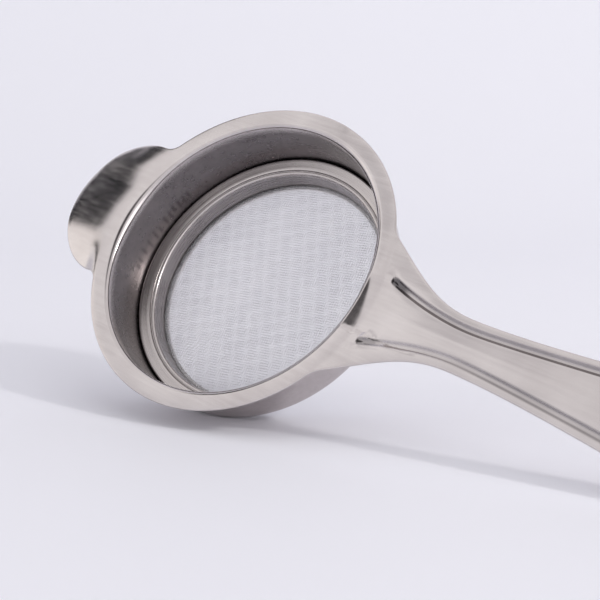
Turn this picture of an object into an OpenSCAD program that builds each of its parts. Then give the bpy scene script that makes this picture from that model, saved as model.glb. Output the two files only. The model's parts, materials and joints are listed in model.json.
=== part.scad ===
// Fine mesh strainer with a flanged cup, a rest tab and a pressed handle.
// Origin: on the cup's axis, at the top end of its straight wall.
// +Z points up out of the mouth, and the handle runs along -X.

/* [Sheet] */
// Thickness of the pressed steel sheet
sheet_t = 0.6; // [0.4:0.1:1.0]

/* [Cup] */
// Inner radius of the cup's straight wall
cup_r = 33.0; // [31:0.5:36]
// Outer radius of the flat flange round the mouth
flange_r = 37.6; // [37:0.2:41]
// Depth of the straight wall, down to the inner shoulder
wall_depth = 13.3; // [11:0.1:16]
// Inner radius of the narrow skirt below the shoulder
skirt_r = 29.7; // [29.5:0.1:30.2]
// Depth of the bottom lip's upper face
lip_depth = 17.8; // [17.5:0.1:18.5]
// Inner radius of the bottom lip, the clear hole under the mesh
lip_r = 27.6; // [26:0.1:28]

/* [Tab] */
// Radius of the round rest tab
tab_r = 17.5; // [14:0.5:19]
// Distance of the tab's centre from the cup's axis
tab_reach = 36.7; // [34:0.1:40]
// Radius of the fillet between tab and flange
tab_fillet_r = 4; // [2:0.5:6]

/* [Handle] */
// Distance of the handle's narrowest place from the cup's axis
neck_x = 60; // [56:1:66]
// Half width of the handle at its narrowest place
neck_w = 5.85; // [5:0.05:7]
// Distance of the round end's centre from the cup's axis
end_x = 117; // [105:1:130]
// Radius of the handle's round end
end_r = 10.8; // [9.5:0.1:12]
// Radius of the fillet between handle and flange
root_fillet_r = 6; // [3:0.5:8]
// Radius of the hanging hole
hole_r = 3; // [2:0.25:4]

/* [Grooves] */
// Width of each stiffening groove
groove_w = 1.5; // [1:0.1:2]
// Depth of each stiffening groove
groove_d = 0.7; // [0.3:0.1:1.0]

/* [Mesh] */
// Thickness of the retaining ring's sheet
ring_t = 0.5; // [0.3:0.1:0.5]
// Inner radius of the retaining ring where it meets the mesh
ring_foot_r = 28.2; // [28:0.1:28.5]
// Thickness of the fine wire cloth
fine_t = 0.2; // [0.1:0.05:0.2]
// Thickness of the coarse wire cloth that backs it
support_t = 0.25; // [0.15:0.05:0.25]
// How far the cloth sags at its middle
mesh_sag = 0.5; // [0.2:0.1:0.5]

/* [Hidden] */

$fn = 180;

// Bends of the cup, each the radius of the face that looks into the cup
mouth_bend = 0.9;
heel_bend = 0.6;
shoulder_bend = 1.0;
foot_bend = 0.5;

flange_top = mouth_bend;
flange_under = flange_top - sheet_t;
plate_hole_r = cup_r + mouth_bend + 0.6;
plate_lap = 0.5;

// The clamped stack, from the ring's foot down to the lip
clamp_gap = 0.03;
ring_foot_z = -lip_depth + fine_t + support_t + 3 * clamp_gap;
fine_z = ring_foot_z - clamp_gap;
support_z = fine_z - fine_t - clamp_gap;
mesh_r = skirt_r - 0.4;

// The retaining ring lies on the shoulder and lines the skirt
ring_rim_r = cup_r - 0.25;
ring_rim_z = -wall_depth + ring_t + 0.2;
ring_crown_r = skirt_r - 0.1;
ring_crown_z = -wall_depth + ring_t + 0.05;
ring_bend = 1.6;

// The rib that each groove makes under the handle
rib_wall = 0.4;
rib_under = flange_under - groove_d + 0.2;

// The handle's straight shoulder, between flange fillet and neck
root = [36.5, 15.2];
root_slope = [9.5, -6.0];

// ---- paths and curves ----

function unit(v) = v / norm(v);
function left(v) = [-v[1], v[0]];
function arc(c, r, a0, a1, n) =
    [for (i = [0:n]) c + r * [cos(a0 + (a1 - a0) * i / n), sin(a0 + (a1 - a0) * i / n)]];
function flip(path) = [for (i = [len(path) - 1:-1:0]) path[i]];
function tail(path) = [for (i = [1:len(path) - 1]) path[i]];
function mirror_x(path) = [for (p = path) [-p[0], p[1]]];
function mirror_y(path) = [for (p = path) [p[0], -p[1]]];

// Cubic curve through four control points
function bezier(c, n) =
    [for (i = [0:n]) let (t = i / n, s = 1 - t)
        s * s * s * c[0] + 3 * s * s * t * c[1] + 3 * s * t * t * c[2] + t * t * t * c[3]];

// One corner of a path, cut by an arc of radius r
function corner(a, b, c, r, n) =
    let (u = unit(a - b), v = unit(c - b), half = acos(u * v) / 2, reach = r / tan(half))
    let (centre = b + unit(u + v) * r / sin(half))
    let (p = b + u * reach - centre, q = b + v * reach - centre)
    let (a0 = atan2(p[1], p[0]), turn = atan2(q[1], q[0]) - a0)
    arc(centre, r, a0, a0 + (turn > 180 ? turn - 360 : turn < -180 ? turn + 360 : turn), n);

// A path of points with its inner corners rounded
function rounded(pts, radii, n) =
    [pts[0],
     for (i = [1:len(pts) - 2]) each corner(pts[i - 1], pts[i], pts[i + 1], radii[i - 1], n),
     pts[len(pts) - 1]];

// The same path moved to its left by d, with parallel sides
function shifted(path, d) =
    let (last = len(path) - 1)
    [for (i = [0:last])
        let (a = left(unit(path[min(i + 1, last)] - path[min(i, last - 1)])))
        let (b = left(unit(path[max(i, 1)] - path[max(i - 1, 0)])))
        path[i] + d * (a + b) / (1 + a * b)];

// A sheet of thickness t on the left side of a path
function sheet(path, t) = concat(path, flip(shifted(path, t)));

// ---- outline of the flat plate: flange, tab and handle ----

// Centre of the fillet that touches the tab and the flange
function tab_fillet_centre() =
    let (a = flange_r + tab_fillet_r, b = tab_r + tab_fillet_r)
    let (x = (a * a - b * b + tab_reach * tab_reach) / (2 * tab_reach))
    [x, sqrt(a * a - x * x)];

// Centre of the fillet that touches the flange and the handle's straight shoulder
function root_fillet_centre() =
    let (n = unit(left(root_slope)), out = n * root + root_fillet_r, d = flange_r + root_fillet_r)
    n * out + unit(root_slope) * sqrt(d * d - out * out);

function angle_of(v) = atan2(v[1], v[0]);

// Half of the outline, from the tab's tip round to the handle's end, with the handle along -X
function half_outline() =
    let (c = tab_fillet_centre(), tab_centre = [tab_reach, 0], h = root_fillet_centre())
    let (neck = [neck_x, neck_w], round_end = [end_x, end_r], n = left(root_slope))
    concat(
        arc(tab_centre, tab_r, 0, angle_of(c - tab_centre), 24),
        tail(arc(c, tab_fillet_r, angle_of(tab_centre - c), angle_of(-c), 16)),
        tail(arc([0, 0], flange_r, angle_of(c), 180 - angle_of(h), 48)),
        mirror_x(concat(
            tail(arc(h, root_fillet_r, angle_of(-h), angle_of(-n), 12)),
            bezier([root, root + root_slope, neck - [9, 0], neck], 16),
            tail(bezier([neck, neck + [16, 0], round_end - [20, 2.1], round_end], 16)),
            tail(arc([end_x, 0], end_r, 90, 0, 16)))));

module plate_outline() {
    half = half_outline();
    back = flip(mirror_y(half));
    polygon(concat(half, [for (i = [1:len(back) - 2]) back[i]]));
}

// ---- stiffening grooves along the handle ----

function groove_line() =
    let (start = [39.5, 7.2], dip = [neck_x, 3.45], stop = [end_x - 4, 7.8])
    concat(
        bezier([start, start + [5.5, -1.9], dip - [7, 0], dip], 10),
        tail(bezier([dip, dip + [7, -0.05], stop - [22, 2.2], stop], 12)));

// A strip along a line, r to each side, with round ends
function strip(line, r) =
    let (last = len(line) - 1)
    let (from = angle_of(line[1] - line[0]), to = angle_of(line[last] - line[last - 1]))
    concat(
        shifted(line, r),
        tail(arc(line[last], r, to + 90, to - 90, 8)),
        tail(flip(shifted(line, -r))),
        tail(arc(line[0], r, from - 90, from - 255, 8)));

module groove_strips(width, z0, z1) {
    for (side = [0, 1]) mirror([0, side]) mirror([1, 0])
        translate([0, 0, z0]) linear_extrude(z1 - z0) polygon(strip(groove_line(), width / 2));
}

// ---- the pieces ----

module cup_shell() {
    path = rounded(
        [[plate_hole_r + plate_lap, flange_top], [cup_r, flange_top], [cup_r, -wall_depth],
         [skirt_r, -wall_depth], [skirt_r, -lip_depth], [lip_r, -lip_depth]],
        [mouth_bend, heel_bend, shoulder_bend, foot_bend], 8);
    rotate_extrude() polygon(sheet(path, sheet_t));
}

module body_pressing() {
    color("silver") difference() {
        union() {
            difference() {
                translate([0, 0, flange_under]) linear_extrude(sheet_t) plate_outline();
                translate([0, 0, -1]) cylinder(r = plate_hole_r, h = 3);
            }
            cup_shell();
            groove_strips(groove_w + 2 * rib_wall, rib_under, flange_under + sheet_t / 2);
        }
        groove_strips(groove_w, flange_top - groove_d, flange_top + 1);
        translate([-end_x, 0, -1]) cylinder(r = hole_r, h = 3);
    }
}

module retaining_ring() {
    path = rounded(
        [[ring_rim_r, ring_rim_z], [ring_crown_r, ring_crown_z], [ring_foot_r, ring_foot_z]],
        [ring_bend], 10);
    color("lightgray") rotate_extrude() polygon(sheet(path, ring_t));
}

// A round sheet of cloth, sagging to its middle, with a flat clamped edge
module cloth(top_z, thick) {
    free_r = ring_foot_r;
    bow_r = (free_r * free_r + mesh_sag * mesh_sag) / (2 * mesh_sag);
    half = asin(free_r / bow_r);
    path = concat([[mesh_r, top_z]], arc([0, top_z - mesh_sag + bow_r], bow_r, -90 + half, -90, 10));
    rotate_extrude() polygon(sheet(path, thick));
}

module fine_mesh() { color("gainsboro") cloth(fine_z, fine_t); }

module support_mesh() { color("darkgray") cloth(support_z, support_t); }

body_pressing();
retaining_ring();
fine_mesh();
support_mesh();
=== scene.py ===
"""Looks of the fine mesh strainer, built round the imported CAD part.

Lengths are in millimetres until a mesh is made.
"""
import json
import math

import bpy
import numpy as np
from mathutils import Matrix, Vector


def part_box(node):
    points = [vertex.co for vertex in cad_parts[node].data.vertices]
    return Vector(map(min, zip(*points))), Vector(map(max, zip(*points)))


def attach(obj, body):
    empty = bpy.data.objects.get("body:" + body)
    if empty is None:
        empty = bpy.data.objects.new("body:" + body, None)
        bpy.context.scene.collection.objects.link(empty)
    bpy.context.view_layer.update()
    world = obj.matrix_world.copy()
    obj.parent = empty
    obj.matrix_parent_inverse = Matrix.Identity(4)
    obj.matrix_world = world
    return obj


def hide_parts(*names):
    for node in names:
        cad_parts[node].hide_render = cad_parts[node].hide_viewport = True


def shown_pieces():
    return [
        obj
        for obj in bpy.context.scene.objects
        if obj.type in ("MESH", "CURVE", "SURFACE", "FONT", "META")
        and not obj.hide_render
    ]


MM = 0.001

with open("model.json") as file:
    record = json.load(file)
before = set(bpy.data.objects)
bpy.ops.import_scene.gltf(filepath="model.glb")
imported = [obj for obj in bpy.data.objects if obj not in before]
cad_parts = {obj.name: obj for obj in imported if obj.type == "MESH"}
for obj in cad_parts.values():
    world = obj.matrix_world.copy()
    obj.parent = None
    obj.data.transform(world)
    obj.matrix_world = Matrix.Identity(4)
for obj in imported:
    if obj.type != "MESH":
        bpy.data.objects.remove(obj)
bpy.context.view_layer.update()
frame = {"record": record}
mounts = {m["name"]: m for m in frame["record"]["mounts"]}

# ---- measures, the same as the CAD part's ----

SHEET = 0.6
CUP_R = mounts["cup_bore"]["dims"]["r_mm"]
FLANGE_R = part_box("body_pressing")[1].y / MM
TIP_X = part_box("body_pressing")[1].x / MM
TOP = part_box("body_pressing")[1].z / MM
END_X = -mounts["hanging_hole"]["pos_m"][0] / MM
HOLE_R = mounts["hanging_hole"]["dims"]["r_mm"]
TAB_R, TAB_FILLET = 17.5, 4.0
TAB_X = TIP_X - TAB_R
NECK_X, NECK_W, END_R, ROOT_FILLET = 60.0, 5.85, 10.8, 6.0
ROOT, ROOT_SLOPE = np.array([36.5, 15.2]), np.array([9.5, -6.0])
SHOULDER_Z, SKIRT_R, LIP_Z, LIP_R = -13.3, 29.7, -17.8, 27.6
RING_FOOT_R = 28.2
CLOTH_R = 29.25

# ---- measures that only this model has ----

# where the handle's grid meets the flange's, and where the round end's grid meets the handle's
LINK_X, HOLE_LINK_X = -38.5, -113.6
# the wall's straight rows start here
WALL_FOOT_Z = -12.7
# rounding of the sheared edge and of the hanging hole's edge
EDGE_ROUND, HOLE_ROUND = 0.26, 0.22
# rows from the rounded edge's start out to the edge itself
EDGE = np.array([EDGE_ROUND, 0.17, 0.09, 0.03, 0.0])
# the flange's fall starts at a radius and has a width and a depth, and part of it is spared by the tab
CREST_R, CREST_W, FLANGE_FALL, FALL_SPARED = 34.5, 3.1, 0.19, 0.15
# the tab's slope along its length, the drop at its sides, and the slope on its +Y side
TAB_LEAN, TAB_SIDE_DROP, TAB_TWIST = 0.14, 0.3, 0.13
# the handle's crown: drop at the middle, the step beside it, and the panel's drop at its groove
CROWN_DROP, CROWN_STEP, PANEL_DROP = 0.05, 0.075, 0.16
# the strips outside the grooves: their step below the crown's middle, and their own fall
STRIP_STEP, STRIP_FALL = 0.235, 0.22
# grooves: depth on the -Y side and on the +Y side, half width of the floor and of the mouth
DEEP_GROOVE, SHALLOW_GROOVE, GROOVE_FLOOR, GROOVE_MOUTH = 0.60, 0.42, 0.22, 0.98
# depth of the panel that is pressed down at the mouth, and the radius where that starts
PANEL_SUNK, SUNK_R = 0.28, 33.65
# creases that run on from the grooves, and the notch at one end of the wide roll: line, depth, width
CREASES = (
    ([[-39.6, -8.1], [-37.2, -9.1]], 0.07, 0.22),
    ([[-44.5, 6.9], [-40.3, 7.9], [-37.6, 9.0]], 0.09, 0.24),
    ([[-35.3, 5.6], [-36.6, 6.0]], 0.22, 0.36))
# short drag marks low on the cup's wall, by the tab: their turn in degrees and their height
MARKS = [
    (17.5, -9.3), (14.4, -9.1), (10.2, -9.0), (5.9, -9.7), (1.4, -9.9), (-2.0, -10.2),
    (-6.2, -9.6), (-9.3, -9.9), (-12.1, -8.9), (-15.2, -9.4), (-18.0, -9.6), (-20.7, -9.1)]
# the drag marks' dent depth, and the strength of their painted shade
MARK_DEPTH, MARK_SHADE = 0.02, 0.8
# a distance in place of one that isn't worked out
FAR = 9.0

# ---- plane curves ----


def arc(centre, r, a0, a1, n):
    a = np.radians(np.linspace(a0, a1, n + 1))
    return np.stack([centre[0] + r * np.cos(a), centre[1] + r * np.sin(a)], 1)


def bezier(c, n):
    t = np.linspace(0, 1, n + 1)[:, None]
    c = np.array(c, float)
    s = 1 - t
    return s**3 * c[0] + 3 * s**2 * t * c[1] + 3 * s * t**2 * c[2] + t**3 * c[3]


def angle_of(v):
    return math.degrees(math.atan2(v[1], v[0]))


def half_outline():
    """From the tab's tip round to the handle's end, on the +Y side."""
    a, b = FLANGE_R + TAB_FILLET, TAB_R + TAB_FILLET
    x = (a * a - b * b + TAB_X * TAB_X) / (2 * TAB_X)
    c = np.array([x, math.sqrt(a * a - x * x)])
    n = np.array([-ROOT_SLOPE[1], ROOT_SLOPE[0]]) / np.linalg.norm(ROOT_SLOPE)
    out, d = n @ ROOT + ROOT_FILLET, FLANGE_R + ROOT_FILLET
    h = n * out + ROOT_SLOPE / np.linalg.norm(ROOT_SLOPE) * math.sqrt(d * d - out * out)
    tab = np.array([TAB_X, 0.0])
    neck, end = np.array([NECK_X, NECK_W]), np.array([END_X, END_R])
    handle = np.concatenate([
        arc(h, ROOT_FILLET, angle_of(-h), angle_of(-n), 24)[1:],
        bezier([ROOT, ROOT + ROOT_SLOPE, neck - [9, 0], neck], 48),
        bezier([neck, neck + [16, 0], end - [20, 2.1], end], 60)[1:],
        arc([END_X, 0], END_R, 90, 0, 48)[1:]])
    handle[:, 0] *= -1
    return np.concatenate([
        arc(tab, TAB_R, 0, angle_of(c - tab), 72),
        arc(c, TAB_FILLET, angle_of(tab - c), angle_of(-c), 32)[1:],
        arc([0, 0], FLANGE_R, angle_of(c), 180 - angle_of(h), 120)[1:],
        handle])


def groove_line():
    start, dip, stop = np.array([39.5, 7.2]), np.array([NECK_X, 3.45]), np.array([END_X - 4, 7.8])
    return np.concatenate([
        bezier([start, start + [5.5, -1.9], dip - [7, 0], dip], 30),
        bezier([dip, dip + [7, -0.05], stop - [22, 2.2], stop], 40)[1:]])


HALF = half_outline()
BACK = (HALF * [1, -1])[::-1]
OUTLINE = np.concatenate([HALF, BACK[1:-1]])
GROOVE = groove_line()
HANDLE_SIDE = HALF[np.argmax(HALF[:, 0] < -30):]


def distance(p, line, closed=False):
    """Distance from each point to a line of points."""
    a, b = line, np.roll(line, -1, 0)
    if not closed:
        a, b = a[:-1], b[:-1]
    ab = b - a
    best = np.full(len(p), 1e9)
    for i in range(0, len(p), 4000):
        q = p[i:i + 4000, None]
        t = np.clip(((q - a) * ab).sum(-1) / (ab * ab).sum(-1), 0, 1)
        best[i:i + 4000] = np.sqrt(((q - a - t[..., None] * ab) ** 2).sum(-1)).min(1)
    return best


def reach(origin, angles, line):
    """How far a closed line is from origin along each angle, and how much its slant stretches a width."""
    a, b = line - origin, np.roll(line, -1, 0) - origin
    d = np.stack([np.cos(np.radians(angles)), np.sin(np.radians(angles))], 1)[:, None]
    ab = b - a
    cross = d[..., 0] * ab[:, 1] - d[..., 1] * ab[:, 0]
    cross = np.where(abs(cross) < 1e-12, 1e-12, cross)
    far = (a[:, 0] * ab[:, 1] - a[:, 1] * ab[:, 0]) / cross
    along = (a[:, 0] * d[..., 1] - a[:, 1] * d[..., 0]) / cross
    far = np.where((along >= -1e-9) & (along <= 1 + 1e-9) & (far > 0), far, -1)
    hit = far.argmax(1)
    r = far[np.arange(len(angles)), hit]
    slant = abs(cross[np.arange(len(angles)), hit]) / np.linalg.norm(ab[hit], axis=1)
    return r, 1 / np.maximum(slant, 0.2)


def smooth(x, lo, hi):
    t = np.clip((x - lo) / (hi - lo), 0, 1)
    return t * t * (3 - 2 * t)


def smooth_sum(x, lo, hi):
    """The integral of smooth() from lo to x."""
    t = np.clip((x - lo) / (hi - lo), 0, 1)
    return (hi - lo) * (t**3 - t**4 / 2) + np.maximum(x - hi, 0)


# ---- the plate's top face as a height over its plan ----


def roll_r(angle):
    """Radius of the mouth's rolled edge. It is softer by the tab and on the handle's side."""
    turn = (angle + 180) % 360 - 180
    return TOP + 0.9 * np.exp(-(((turn - 3) / 19) ** 2)) + 0.6 * smooth(np.abs(turn), 75, 120)


def sunk(x, y, r):
    """Depth of the panel between the grooves, which is pressed down where it meets the mouth."""
    across = smooth(y, -8.0, -4.0) * (1 - smooth(y, 5.2, 6.2))
    wide = smooth(y, -6.0, 5.0)
    fall = np.maximum(r - SUNK_R, 0) - smooth_sum(r, 34.3 + 0.4 * wide, 35.4 + 2.2 * wide)
    return (x < 0) * PANEL_SUNK * fall * across * (1 - smooth(-x, 38.5, 56))


def rounding(inside, radius):
    """How far a rounded edge lies below the face, at a distance inside the edge."""
    short = np.clip(radius - inside, 0, radius)
    return radius - np.sqrt(radius**2 - short**2 + 1e-12)


def plate_z(p):
    x, y = p[:, 0], p[:, 1]
    r, side = np.hypot(x, y), np.abs(y)
    angle = np.degrees(np.arctan2(side, x))
    # the flange falls away from its crest
    fall = FLANGE_FALL - FALL_SPARED * (x > -8) * smooth(-y, 4, 14)
    fall = fall * (np.clip(r - CREST_R, 0, CREST_W) / CREST_W) ** 2
    # the tab leans down towards its tip and at its sides
    late = 3.2 * smooth(-y, 5, 13)
    lean = TAB_LEAN * smooth_sum(r, 35.0 + late, 42.5 + late)
    lean += TAB_SIDE_DROP * smooth(r, 37, 46) * (side / TAB_R) ** 3
    lean += TAB_TWIST * smooth_sum(y, 6.0, 11.0) * smooth(r, 36.5, 42)
    tab = 1 - smooth(angle, 25, 42)
    z = TOP - fall * (1 - tab) - lean * tab
    # the handle is a shallow crown between two grooves, with falling strips outside them
    width = np.interp(-x, -HALF[:, 0], HALF[:, 1])
    line_y = np.interp(-x, GROOVE[:, 0], GROOVE[:, 1])
    panel = CROWN_DROP + CROWN_STEP * smooth(side, 0.0, 1.0)
    panel += PANEL_DROP * (side / np.maximum(line_y, 1)) ** 2
    outward = np.clip((side - line_y) / np.maximum(width - line_y, 0.5), 0, 1)
    outer = CROWN_DROP + STRIP_STEP + STRIP_FALL * outward**2
    mix = smooth(side - line_y, -0.6, 0.6)
    crown = panel * (1 - mix) + outer * mix
    on_handle = (x < 0) * smooth(r, 35.0, 41.5) * (1 - smooth(180 - angle, 17, 27))
    z = z * (1 - on_handle) + (TOP - crown) * on_handle
    # the pressed panel, the grooves and their creases
    z -= sunk(x, y, r)
    q = np.stack([-x, side], 1)
    near = (x < -34) & (side < 12)
    d = np.full(len(p), FAR)
    d[near] = distance(q[near], GROOVE)
    depth = np.where(y < 0, DEEP_GROOVE, SHALLOW_GROOVE)
    z -= depth * (1 - smooth(d, GROOVE_FLOOR, GROOVE_MOUTH)) * smooth(-x, 38.2, 40.4)
    here = (x < -33) & (side < 12)
    for line, deep, wide in CREASES:
        e = np.full(len(p), FAR)
        e[here] = distance(p[here], np.array(line))
        z -= deep * np.exp(-((e / wide) ** 2))
    # the sheared edge is slightly rounded
    z = z - rounding(distance(p, OUTLINE, True), EDGE_ROUND)
    return z - rounding(np.hypot(x + END_X, y) - HOLE_R, HOLE_ROUND)


# ---- grids of points welded into one sheet ----


def lanes(x):
    """Places across the handle at x, from -Y to +Y: outer strip, groove, panel, groove, outer strip."""
    w = np.interp(-x, -HANDLE_SIDE[:, 0], HANDLE_SIDE[:, 1])
    g = np.interp(-x, GROOVE[:, 0], GROOVE[:, 1])
    if -x < GROOVE[0, 0]:
        slope = (GROOVE[1, 1] - GROOVE[0, 1]) / (GROOVE[1, 0] - GROOVE[0, 0])
        g = GROOVE[0, 1] + slope * (-x - GROOVE[0, 0])
    reserve = 1.1
    inner = np.linspace(0, g - reserve, 6)[:-1]
    middle = np.linspace(g - reserve, g + reserve, 11)[:-1]
    outer = np.linspace(g + reserve, w - EDGE[0], 8)[:-1]
    half = np.concatenate([inner, middle, outer, w - EDGE])
    return np.concatenate([-half[::-1], half[1:]])


def grid_faces(rows, cols, start, closed=False, flip=False):
    i, j = np.meshgrid(np.arange(rows - 1), np.arange(cols if closed else cols - 1), indexing="ij")
    k = (j + 1) % cols
    row, above = i * cols, (i + 1) * cols
    quads = np.stack([row + j, row + k, above + k, above + j], -1).reshape(-1, 4) + start
    return quads[:, ::-1] if flip else quads


def radial_patch(origin, angles, inner_r, outer_r, slant, rows):
    """Plan points from an inner radius to an outer one, with close rows at the outer edge."""
    t = np.linspace(0, 1, rows)[:, None] ** 1.15
    last = outer_r - EDGE[0] * slant
    body = inner_r + (last - inner_r) * t
    rim = outer_r - EDGE[1:, None] * slant
    r = np.concatenate([body, rim])
    a = np.radians(angles)
    return np.stack([origin[0] + r * np.cos(a), origin[1] + r * np.sin(a)], -1)


def corner_path(points, bends, n):
    """A path in the (radius, height) plane with its corners rounded."""
    path = [np.array(points[0], float)]
    for i, bend in enumerate(bends, 1):
        a, b, c = (np.array(points[k], float) for k in (i - 1, i, i + 1))
        u, v = (a - b) / np.linalg.norm(a - b), (c - b) / np.linalg.norm(c - b)
        half = math.acos(u @ v) / 2
        centre = b + (u + v) / np.linalg.norm(u + v) * bend / math.sin(half)
        p, q = b + u * bend / math.tan(half) - centre, b + v * bend / math.tan(half) - centre
        a0 = angle_of(p)
        turn = (angle_of(q) - a0 + 180) % 360 - 180
        path += list(arc(centre, bend, a0, a0 + turn, n))
    return np.array(path + [np.array(points[-1], float)])


def new_mesh(name, verts, faces):
    mesh = bpy.data.meshes.new(name)
    points = [tuple(v) for v in np.asarray(verts) * MM]
    mesh.from_pydata(points, [], [tuple(int(i) for i in f) for f in faces])
    mesh.update()
    obj = bpy.data.objects.new(name, mesh)
    bpy.context.collection.objects.link(obj)
    mesh.polygons.foreach_set("use_smooth", [True] * len(mesh.polygons))
    return obj


def apply_modifiers(obj):
    bpy.context.view_layer.update()
    graph = bpy.context.evaluated_depsgraph_get()
    mesh = bpy.data.meshes.new_from_object(obj.evaluated_get(graph))
    obj.modifiers.clear()
    obj.data = mesh


def mark_body(body):
    """Stores where the sheet is drawn into the cup's wall, which gets painted shade, and how much painted
    shade the grooves, the drag marks and the wall's foot by the heel get.
    """
    mesh = body.data
    count = len(mesh.vertices)
    co, normal = np.empty(count * 3), np.empty(count * 3)
    mesh.vertices.foreach_get("co", co)
    mesh.vertices.foreach_get("normal", normal)
    co, normal = co.reshape(-1, 3) / MM, normal.reshape(-1, 3)
    r = np.hypot(co[:, 0], co[:, 1])
    inward = -(co[:, 0] * normal[:, 0] + co[:, 1] * normal[:, 1]) / np.maximum(r, 1)
    drawn = smooth(inward, 0.80, 0.97) * smooth(-co[:, 2], 0.3, 1.6) * (r < 34.5)
    # painted shade in the grooves: darker by their walls than on their floor, and darkest where each groove
    # starts
    d = np.full(count, FAR)
    near = (co[:, 0] < -34) & (abs(co[:, 1]) < 12) & (normal[:, 2] > 0)
    d[near] = distance(np.stack([-co[near, 0], abs(co[near, 1])], 1), GROOVE)
    deep = co[:, 1] < 0
    start = np.where(deep, 1.0, 0.8) * (1 - smooth(-co[:, 0], 42.0, 44.5))
    recess_shade = (1 - smooth(d, 0.70, 1.05)) * (0.30 + 0.70 * np.maximum(smooth(d, 0.12, 0.45), start))
    deep_share = 1 - 0.45 * smooth(-co[:, 0], 41.5, 45)
    shallow_share = 0.30 + 0.35 * smooth(-co[:, 0], 56, 70) + 0.45 * start
    recess_shade *= np.where(deep, deep_share, shallow_share)
    # painted shade in the drag marks on the drawn wall
    turn = np.degrees(np.arctan2(co[:, 1], co[:, 0]))
    for mark, height in MARKS:
        beside = np.exp(-(((turn - mark) / 0.8) ** 2))
        recess_shade += drawn * beside * (1 - smooth(abs(co[:, 2] - height), 0.7, 1.8)) * MARK_SHADE
    # painted shade on the drawn wall, growing towards the heel where it meets the ring
    recess_shade = np.clip(recess_shade + 0.7 * drawn * smooth(-co[:, 2], 9.5, 12.3), 0, 1)
    for name, values in (("drawn", drawn), ("recess_shade", recess_shade)):
        layer = mesh.attributes.new(name, "FLOAT", "POINT")
        layer.data.foreach_set("value", values.astype(np.float32))


def build_body():
    # directions round the cup: across the handle's root, then closer steps at the tab
    link = lanes(LINK_X)
    root = (np.degrees(np.arctan2(link, LINK_X)) % 360)[::-1]
    fine = np.concatenate([np.arange(0, 22, 0.4), np.arange(22, 33, 0.35)])
    coarse = np.linspace(33, root[0], 104)[:-1]
    side = np.concatenate([fine, coarse])
    angles = np.concatenate([side, root, (360 - side[1:])[::-1]])
    cols = len(angles)
    a = np.radians(angles)

    # inside of the cup, from the lip up to the end of the mouth's roll
    corners = [[LIP_R, LIP_Z], [SKIRT_R, LIP_Z], [SKIRT_R, SHOULDER_Z], [CUP_R, SHOULDER_Z], [CUP_R, -9]]
    low = corner_path(corners, [0.5, 1.0, 0.6], 4)
    rows = [np.stack([p[0] * np.cos(a), p[0] * np.sin(a), 0 * a + p[1]], 1) for p in low[:-1]]
    rho = roll_r(angles)
    turn = (angles + 180) % 360 - 180
    for t in np.linspace(0, 1, 13)[1:]:
        z = WALL_FOOT_Z + t * (TOP - rho - WALL_FOOT_Z)
        dent = 0 * a
        for mark, height in MARKS:
            beside = np.exp(-(((turn - mark) / 0.7) ** 2))
            dent += MARK_DEPTH * beside * (1 - smooth(abs(z - height), 0.6, 1.7))
        r = CUP_R + dent
        rows.append(np.stack([r * np.cos(a), r * np.sin(a), z], 1))
    for t in np.radians(np.linspace(0, 90, 12))[1:-1]:
        r = CUP_R + rho * (1 - np.cos(t))
        z = np.minimum(TOP - rho * (1 - np.sin(t)), TOP - sunk(r * np.cos(a), r * np.sin(a), r))
        rows.append(np.stack([r * np.cos(a), r * np.sin(a), z], 1))

    # flange, tab and handle root
    far, slant = reach(np.zeros(2), angles, OUTLINE)
    on_link = (angles >= root[0] - 1e-6) & (angles <= root[-1] + 1e-6)
    far[on_link] = LINK_X / np.cos(a[on_link])
    slant[on_link] = 1.0
    plan = radial_patch((0, 0), angles, CUP_R + rho, far, slant, 17)
    verts = [np.concatenate(rows)]
    flat = plan.reshape(-1, 2)
    verts.append(np.column_stack([flat, plate_z(flat)]))
    faces = [grid_faces(len(rows) + len(plan), cols, 0, True)]
    count = sum(len(v) for v in verts)

    # handle, from its root to just before the hanging hole
    xs = np.concatenate([
        np.arange(LINK_X, -44, -0.35), np.arange(-44, -108, -0.75),
        np.arange(-108, HOLE_LINK_X, -0.4), [HOLE_LINK_X]])
    handle = np.array([[[x, y] for y in lanes(x)] for x in xs])
    flat = handle.reshape(-1, 2)
    verts.append(np.column_stack([flat, plate_z(flat)]))
    faces.append(grid_faces(len(xs), handle.shape[1], count, False, True))
    count += len(flat)

    # round end with the hanging hole
    hub = np.array([-END_X, 0.0])
    near = np.degrees(np.arctan2(lanes(HOLE_LINK_X), HOLE_LINK_X + END_X))
    rest = np.linspace(near[-1], 360 + near[0], 72)[1:-1]
    turn = np.concatenate([near, rest])
    far, slant = reach(hub, turn, OUTLINE)
    far[:len(near)] = (HOLE_LINK_X + END_X) / np.cos(np.radians(near))
    slant[:len(near)] = 1.0
    rim = HOLE_R + np.array([0, 0.03, 0.09, 0.16])[:, None] + 0 * turn
    step = np.minimum(far - HOLE_R, 0.42) / 0.42
    rim = HOLE_R + (rim - HOLE_R) * step
    plan = radial_patch(hub, turn, HOLE_R + 0.24 * step, far, slant * step, 12)
    ring = np.stack([hub[0] + rim * np.cos(np.radians(turn)), rim * np.sin(np.radians(turn))], -1)
    plan = np.concatenate([ring, plan])
    flat = plan.reshape(-1, 2)
    verts.append(np.column_stack([flat, plate_z(flat)]))
    faces.append(grid_faces(len(plan), len(turn), count, True))

    body = new_mesh("pressed_body", np.concatenate(verts), np.concatenate(faces)[:, ::-1])
    weld = body.modifiers.new("weld", "WELD")
    weld.merge_threshold = 2e-6
    apply_modifiers(body)
    thick = body.modifiers.new("sheet", "SOLIDIFY")
    thick.thickness = SHEET * MM
    thick.offset = -1
    thick.use_even_offset = False
    thick.use_quality_normals = True
    apply_modifiers(body)
    body.data.set_sharp_from_angle(angle=math.radians(27))
    mark_body(body)
    return body


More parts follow.
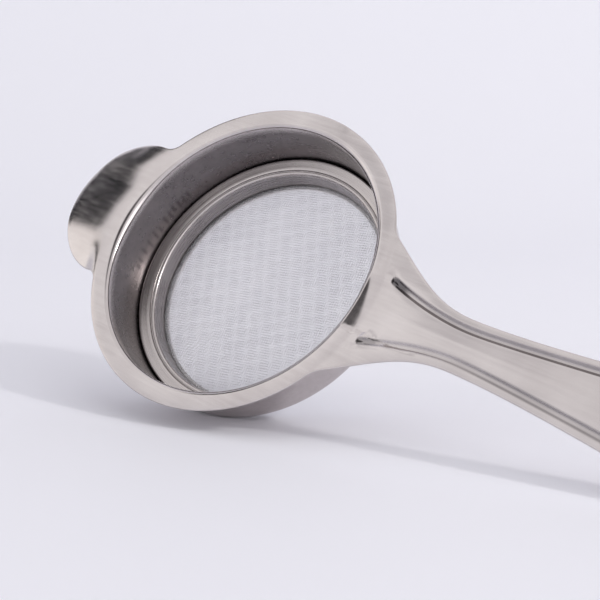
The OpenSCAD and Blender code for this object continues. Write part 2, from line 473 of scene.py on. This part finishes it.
def build_ring():
    # a rolled hem by the wall, a sloping band with a step, a crest, and a steep skirt down to the cloth
    top = np.concatenate([
        arc((32.37, -12.84), 0.36, -70, 100, 12),
        [[31.9, -12.60], [31.3, -12.74], [30.75, -12.86], [30.4, -12.92], [30.2, -13.00]],
        [[30.08, -13.10], [29.96, -13.10], [29.80, -13.02], [29.55, -12.97]],
        arc((29.42, -13.62), 0.66, 75, 172, 10),
        [[28.70, -14.3], [28.60, -15.0], [28.48, -15.8], [28.34, -16.6], [28.22, -17.15]],
        arc((28.42, -17.10), 0.16, 190, 330, 5)])
    under = np.array([[28.78, -16.6], [28.92, -15.6], [29.04, -14.6], [29.12, -13.95], [29.3, -13.62],
                      [29.7, -13.42], [30.3, -13.36], [31.2, -13.27], [32.0, -13.22]])
    section = np.concatenate([top, under])
    turns = 224
    a = np.linspace(0, 2 * math.pi, turns, endpoint=False)
    verts = np.concatenate([np.stack([r * np.cos(a), r * np.sin(a), 0 * a + z], 1) for r, z in section])
    quads = grid_faces(len(section), turns, 0, True)
    last = (len(section) - 1) * turns
    j = np.arange(turns)
    k = (j + 1) % turns
    quads = np.concatenate([quads, np.stack([last + j, last + k, k, j], 1)])
    return new_mesh("clamp_ring", verts, quads[:, ::-1])


def build_wires(name, pitch, wire, turn, direction, mid_z, sag):
    """One direction of a plain weave: each wire goes over and under the wires that cross it."""
    rad = wire * 0.5
    count = int(CLOTH_R / pitch)
    # the wire's cross-section is a triangle, in wire radii
    corners = ((0.0, 0.78), (-0.78, -0.42), (0.78, -0.42))
    ca, sa = math.cos(math.radians(turn)), math.sin(math.radians(turn))
    verts, faces, start = [], [], 0
    for i in range(-count, count + 1):
        at = i * pitch
        reach_k = int(math.sqrt(max(CLOTH_R**2 - at**2, 0)) / pitch)
        if reach_k < 2:
            continue
        k = np.arange(-reach_k, reach_k + 1)
        u, v = k * pitch, np.full(len(k), at)
        over = np.where((k + i) % 2 == 0, 1.0, -1.0) * (1 if direction == 0 else -1)
        x, y = (u, v) if direction == 0 else (v, u)
        r = np.hypot(x, y)
        press = 1 - 0.45 * smooth(r, 27.4, 28.4)
        z = mid_z - sag * (1 - np.minimum(r / RING_FOOT_R, 1) ** 2) + rad * over * press
        side = (0, 1) if direction == 0 else (1, 0)
        pts = []
        for c, s in corners:
            px = x + side[0] * c * rad
            py = y + side[1] * c * rad
            pts.append(np.stack([px * ca - py * sa, px * sa + py * ca, z + s * rad * press], 1))
        n = len(k)
        verts.append(np.stack(pts, 1).reshape(-1, 3))
        m = np.arange(n - 1)[:, None] * 3 + start
        j = np.arange(3)[None]
        quad = np.stack([m + j, m + (j + 1) % 3, m + 3 + (j + 1) % 3, m + 3 + j], -1).reshape(-1, 4)
        last = start + 3 * (n - 1)
        sheet = [list(q) for q in quad] + [[start, start + 2, start + 1], [last, last + 1, last + 2]]
        faces += sheet if direction == 1 else [q[::-1] for q in sheet]
        start += 3 * n
    return new_mesh(name, np.concatenate(verts), faces)


# ---- materials ----


def node_material(name):
    mat = bpy.data.materials.new(name)
    mat.use_nodes = True
    tree = mat.node_tree
    return mat, tree, tree.nodes["Principled BSDF"]


def noise(tree, source, scale, detail=3.0, stretch=(1, 1, 1), rough=0.5):
    mapping = tree.nodes.new("ShaderNodeMapping")
    mapping.inputs["Scale"].default_value = stretch
    tree.links.new(source, mapping.inputs["Vector"])
    tex = tree.nodes.new("ShaderNodeTexNoise")
    tex.inputs["Scale"].default_value = scale
    tex.inputs["Detail"].default_value = detail
    tex.inputs["Roughness"].default_value = rough
    tree.links.new(mapping.outputs["Vector"], tex.inputs["Vector"])
    return tex.outputs["Fac"]


def remap(tree, value, lo, hi, to_lo, to_hi):
    node = tree.nodes.new("ShaderNodeMapRange")
    for key, number in (("From Min", lo), ("From Max", hi), ("To Min", to_lo), ("To Max", to_hi)):
        node.inputs[key].default_value = number
    tree.links.new(value, node.inputs["Value"])
    return node.outputs["Result"]


def math_node(tree, kind, a, b):
    node = tree.nodes.new("ShaderNodeMath")
    node.operation = kind
    for i, v in enumerate((a, b)):
        if isinstance(v, (int, float)):
            node.inputs[i].default_value = v
        else:
            tree.links.new(v, node.inputs[i])
    return node.outputs[0]


def blend(tree, factor, dark, light):
    ramp = tree.nodes.new("ShaderNodeValToRGB")
    ramp.color_ramp.elements[0].color = (*dark, 1)
    ramp.color_ramp.elements[1].color = (*light, 1)
    tree.links.new(factor, ramp.inputs["Fac"])
    return ramp.outputs["Color"]


def mixed(tree, factor, a, b):
    node = tree.nodes.new("ShaderNodeMix")
    node.data_type = "RGBA"
    # the colour sockets of this node share their names with its number sockets
    colours = [socket for socket in node.inputs if socket.type == "RGBA"]
    for socket, value in ((node.inputs[0], factor), (colours[0], a), (colours[1], b)):
        if isinstance(value, (int, float, tuple)):
            socket.default_value = value
        else:
            tree.links.new(value, socket)
    return [socket for socket in node.outputs if socket.type == "RGBA"][0]


def bump(tree, height, distance_m, strength, before=None):
    node = tree.nodes.new("ShaderNodeBump")
    node.inputs["Distance"].default_value = distance_m
    node.inputs["Strength"].default_value = strength
    tree.links.new(height, node.inputs["Height"])
    if before is not None:
        tree.links.new(before, node.inputs["Normal"])
    return node.outputs["Normal"]


def contrast(tree, value):
    """Stretches a noise, which stays near its middle, over the range from 0 to 1."""
    return remap(tree, value, 0.35, 0.65, 0, 1)


def mingle(tree, a, a_share, b, b_share):
    a_part, b_part = math_node(tree, "MULTIPLY", a, a_share), math_node(tree, "MULTIPLY", b, b_share)
    return math_node(tree, "ADD", a_part, b_part)


def stored(tree, name):
    """A value that mark_body() stored on the mesh."""
    layer = tree.nodes.new("ShaderNodeAttribute")
    layer.attribute_name = name
    return layer.outputs["Fac"]


def steel(name, dark, light, rough_lo, rough_hi, ringed, drawn=None):
    """Satin stainless steel: cloudy tone, fine rub marks and a slightly uneven pressed face; on the body
    painted shade on the drawn wall and in the grooves, on the ring a band painted lighter.
    """
    mat, tree, bsdf = node_material(name)
    place = tree.nodes.new("ShaderNodeTexCoord").outputs["Object"]
    cloud = noise(tree, place, 55, 4.0)
    grain = noise(tree, place, 3800, 2.0)
    if ringed:
        split = tree.nodes.new("ShaderNodeSeparateXYZ")
        tree.links.new(place, split.inputs[0])
        flat = math_node(tree, "ADD", math_node(tree, "MULTIPLY", split.outputs[0], split.outputs[0]),
                         math_node(tree, "MULTIPLY", split.outputs[1], split.outputs[1]))
        radius = math_node(tree, "POWER", flat, 0.5)
        join = tree.nodes.new("ShaderNodeCombineXYZ")
        tree.links.new(radius, join.inputs[0])
        tree.links.new(split.outputs[2], join.inputs[1])
        lines = noise(tree, join.outputs[0], 2600, 2.0)
    else:
        lines = noise(tree, place, 900, 3.0, (0.05, 1.0, 1.0), 0.6)
    tone = mingle(tree, cloud, 0.7, lines, 0.3)
    colour = blend(tree, contrast(tree, tone), dark, light)
    if drawn:
        # painted shade: the cup's drawn wall is painted darker than the flat sheet, and the grooves, the
        # drag marks and the wall's foot are painted with shadow
        for place_name, pair, share in (("drawn", drawn[:2], 1.0), ("recess_shade", drawn[2:], 0.9)):
            factor = math_node(tree, "MULTIPLY", stored(tree, place_name), share)
            colour = mixed(tree, factor, colour, blend(tree, contrast(tree, tone), *pair))
    if ringed:
        # painted light: the band that lies on the shoulder is painted brighter than the skirt below it
        painted_band_light = remap(tree, split.outputs[2], -0.0141, -0.0133, 0, 0.45)
        colour = mixed(tree, painted_band_light, colour, (0.80, 0.74, 0.72, 1))
    tree.links.new(colour, bsdf.inputs["Base Color"])
    worn = mingle(tree, cloud, 0.5, lines, 0.5)
    rough = remap(tree, worn, 0.3, 0.7, rough_lo, rough_hi)
    if drawn:
        rough = math_node(tree, "ADD", rough, math_node(tree, "MULTIPLY", stored(tree, "drawn"), 0.13))
    tree.links.new(rough, bsdf.inputs["Roughness"])
    bsdf.inputs["Metallic"].default_value = 1.0
    wavy = bump(tree, noise(tree, place, 120, 1.5), 0.00022, 0.35)
    fine = bump(tree, lines, 0.000012, 0.20, wavy)
    tree.links.new(bump(tree, grain, 0.000008, 0.35, fine), bsdf.inputs["Normal"])
    return mat


def wire_steel(name, dark, light, rough):
    mat, tree, bsdf = node_material(name)
    place = tree.nodes.new("ShaderNodeTexCoord").outputs["Object"]
    tone = noise(tree, place, 160, 3.0)
    tree.links.new(blend(tree, contrast(tree, tone), dark, light), bsdf.inputs["Base Color"])
    uneven = remap(tree, noise(tree, place, 1500, 2.0), 0.3, 0.7, rough - 0.05, rough + 0.07)
    tree.links.new(uneven, bsdf.inputs["Roughness"])
    bsdf.inputs["Metallic"].default_value = 1.0
    tree.links.new(bump(tree, noise(tree, place, 5200, 2.0), 0.00001, 0.3), bsdf.inputs["Normal"])
    return mat


# painted shade: darker colours for the cup's drawn wall, and shadow colours for the grooves, the drag marks
# and the wall's foot
WALL_SHADE = ((0.18, 0.163, 0.165), (0.27, 0.245, 0.245))
SHADOWED = ((0.07, 0.065, 0.07), (0.13, 0.12, 0.125))
BODY_STEEL = steel("satin_pressed_steel", (0.55, 0.507, 0.50), (0.685, 0.637, 0.628), 0.11, 0.22, False,
                   WALL_SHADE + SHADOWED)
# painted shade: the ring's steel is given darker colours than the body's, for the shade deep in the cup
RING_STEEL = steel("turned_ring_steel", (0.30, 0.277, 0.275), (0.43, 0.398, 0.395), 0.22, 0.34, True)
# painted light: both wire steels are given far brighter colours than the body's, standing in for the glints
# and brightness of the lit cloth
FINE_WIRE = wire_steel("fine_wire_steel", (0.96, 0.955, 0.975), (0.995, 0.99, 1.0), 0.20)
BACK_WIRE = wire_steel("support_wire_steel", (0.80, 0.79, 0.82), (0.90, 0.89, 0.92), 0.30)


def finish_piece(obj, node, material):
    obj.data.materials.clear()
    obj.data.materials.append(material)
    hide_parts(node)
    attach(obj, "root")


finish_piece(build_body(), "body_pressing", BODY_STEEL)
finish_piece(build_ring(), "retaining_ring", RING_STEEL)
for way in (0, 1):
    fine = build_wires(f"fine_wires_{'ab'[way]}", 0.30, 0.115, 8, way, -17.40, 0.34)
    finish_piece(fine, "fine_mesh", FINE_WIRE)
    back = build_wires(f"support_wires_{'ab'[way]}", 0.62, 0.12, 13, way, -17.63, 0.34)
    finish_piece(back, "support_mesh", BACK_WIRE)

# ---- the studio's directions and the camera's ----

# away from the floor that the strainer leans on
UP = Vector((0.225, -0.798, 0.559)).normalized()
EYE = Vector((-166.0, 56.6, 199.8)) * MM
TALL, AHEAD = Vector((0.322, -0.832, 0.451)), Vector((0.574, -0.208, -0.792))
AWAY = (AHEAD - AHEAD.dot(UP) * UP).normalized()
ACROSS = AWAY.cross(UP).normalized()


def toward(turn, rise):
    """A direction in the studio, in degrees. Turn is 0 to the image's right and 90 away from the camera."""
    turn, rise = math.radians(turn), math.radians(rise)
    return (ACROSS * math.cos(turn) + AWAY * math.sin(turn) + UP * math.tan(rise)).normalized()


# ---- floor, in metres ----

FLOOR_NEAR, FLOOR_FLAT, SWEEP_R, SWEEP_TOP, HALF_WIDTH = -0.9, 0.35, 0.5, 1.6, 1.6
FLOOR_GAP = 0.00005


def lowest_along(up):
    low = 1e9
    graph = bpy.context.evaluated_depsgraph_get()
    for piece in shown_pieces():
        mesh = piece.evaluated_get(graph).data
        co = np.empty(len(mesh.vertices) * 3, np.float32)
        mesh.vertices.foreach_get("co", co)
        low = min(low, float((co.reshape(-1, 3) @ np.array(up)).min()))
    return low


def build_floor():
    """A sheet of paper that lies flat under the strainer and sweeps up behind it."""
    base = UP * (lowest_along(UP) - FLOOR_GAP)
    bend = [(math.sin(t), 1 - math.cos(t)) for t in np.linspace(0.05, math.pi / 2, 24)]
    profile = [(FLOOR_NEAR, 0.0), (0.0, 0.0), (FLOOR_FLAT, 0.0)]
    profile += [(FLOOR_FLAT + SWEEP_R * far, SWEEP_R * high) for far, high in bend]
    profile += [(FLOOR_FLAT + SWEEP_R, SWEEP_TOP)]
    verts, faces = [], []
    for far, high in profile:
        for side in (-HALF_WIDTH, HALF_WIDTH):
            verts.append(base + ACROSS * side + AWAY * far + UP * high)
    for i in range(len(profile) - 1):
        faces.append((2 * i, 2 * i + 1, 2 * i + 3, 2 * i + 2))
    mesh = bpy.data.meshes.new("studio_sweep")
    mesh.from_pydata([tuple(v) for v in verts], [], faces)
    mesh.polygons.foreach_set("use_smooth", [True] * len(mesh.polygons))
    mesh.update()
    obj = bpy.data.objects.new("studio_sweep", mesh)
    bpy.context.collection.objects.link(obj)
    mat, tree, bsdf = node_material("pale_paper")
    bsdf.inputs["Base Color"].default_value = (0.855, 0.855, 0.905, 1)
    bsdf.inputs["Roughness"].default_value = 0.6
    bsdf.inputs["Specular IOR Level"].default_value = 0.25
    # from below, the paper is clear
    clear = tree.nodes.new("ShaderNodeBsdfTransparent")
    mix = tree.nodes.new("ShaderNodeMixShader")
    geometry = tree.nodes.new("ShaderNodeNewGeometry")
    tree.links.new(geometry.outputs["Backfacing"], mix.inputs["Fac"])
    tree.links.new(bsdf.outputs[0], mix.inputs[1])
    tree.links.new(clear.outputs[0], mix.inputs[2])
    tree.links.new(mix.outputs[0], tree.nodes["Material Output"].inputs["Surface"])
    obj.data.materials.append(mat)
    return obj


floor = build_floor()

# ---- light ----


def area_light(name, way, far, size, power, colour):
    data = bpy.data.lights.new(name, "AREA")
    data.shape = "DISK"
    data.size = size
    data.energy = power
    data.color = colour
    obj = bpy.data.objects.new(name, data)
    obj.location = way * far
    obj.rotation_euler = way.to_track_quat("Z", "Y").to_euler()
    bpy.context.collection.objects.link(obj)


area_light("key", toward(-30, 31), 1.2, 0.10, 3.6, (1.0, 0.98, 0.96))

# soft patches of the studio: turn, rise, outer and inner radius in degrees, and colour
PATCHES = (
    # a pale patch high on the left, and a dimmer one inside it
    (180, 55, 25, 7, (1.06, 1.05, 1.06, 1)),
    (194, 58, 9.5, 2.5, (0.74, 0.73, 0.75, 1)),
    # a brighter patch low on the left, which the tab mirrors
    (170, 22, 17, 8, (1.24, 1.21, 1.19, 1)),
    # a bright soft box low on the right, on the camera's side
    (-46, 11, 28, 12, (1.9, 1.88, 1.92, 1)),
    # the dark of the room above the camera
    (-106, 50, 23, 14, (0.10, 0.095, 0.10, 1)))
# a black flag that the tab mirrors: half width and half height where it starts and stops to fade
FLAG_WAY, FLAG_WIDE, FLAG_TALL = toward(145, 40), (0.28, 0.35), (0.23, 0.30)
FLAG_BLACK = (0.012, 0.013, 0.016, 1)
PLAIN_BACKDROP = (0.80, 0.80, 0.87, 1)


def build_world():
    world = bpy.data.worlds.new("studio")
    bpy.context.scene.world = world
    world.use_nodes = True
    tree = world.node_tree
    back = tree.nodes["Background"]
    way = tree.nodes.new("ShaderNodeTexCoord").outputs["Generated"]

    def along(axis):
        node = tree.nodes.new("ShaderNodeVectorMath")
        node.operation = "DOT_PRODUCT"
        tree.links.new(way, node.inputs[0])
        node.inputs[1].default_value = axis
        return node.outputs["Value"]

    def off_middle(axis, ahead):
        return math_node(tree, "ABSOLUTE", math_node(tree, "DIVIDE", along(axis), ahead), 0)

    # an even pale studio with soft round patches in it
    height = remap(tree, along(UP), -0.2, 1.0, 0, 1)
    tone = blend(tree, height, (0.89, 0.89, 0.93), (0.88, 0.865, 0.88))
    for turn, rise, outer, inner, colour in PATCHES:
        lo, hi = math.cos(math.radians(outer)), math.cos(math.radians(inner))
        patch = remap(tree, along(toward(turn, rise)), lo, hi, 0, 1)
        tone = mixed(tree, patch, tone, colour)
    sideways = FLAG_WAY.cross(UP).normalized()
    upright = sideways.cross(FLAG_WAY).normalized()
    ahead = along(FLAG_WAY)
    a, b = off_middle(sideways, ahead), off_middle(upright, ahead)
    black = math_node(tree, "MULTIPLY", remap(tree, a, *FLAG_WIDE, 1, 0), remap(tree, b, *FLAG_TALL, 1, 0))
    black = math_node(tree, "MULTIPLY", black, math_node(tree, "GREATER_THAN", ahead, 0.0))
    tone = mixed(tree, black, tone, FLAG_BLACK)
    # what the camera sees past the paper stays plain
    seen = tree.nodes.new("ShaderNodeLightPath").outputs["Is Camera Ray"]
    tree.links.new(mixed(tree, seen, tone, PLAIN_BACKDROP), back.inputs["Color"])
    back.inputs["Strength"].default_value = 1.0


build_world()

# ---- camera ----


def build_camera():
    camera = bpy.data.objects.new("camera", bpy.data.cameras.new("camera"))
    bpy.context.collection.objects.link(camera)
    camera.data.lens = 72
    camera.data.sensor_width = 36
    camera.data.clip_start = 0.01
    side = AHEAD.cross(TALL).normalized()
    tall = side.cross(AHEAD).normalized()
    turn = Matrix((side, tall, -AHEAD.normalized())).transposed()
    camera.matrix_world = Matrix.Translation(EYE) @ turn.to_4x4()
    return camera


bpy.context.scene.camera = build_camera()
bpy.context.scene.view_settings.view_transform = "Standard"

bpy.context.view_layer.update()
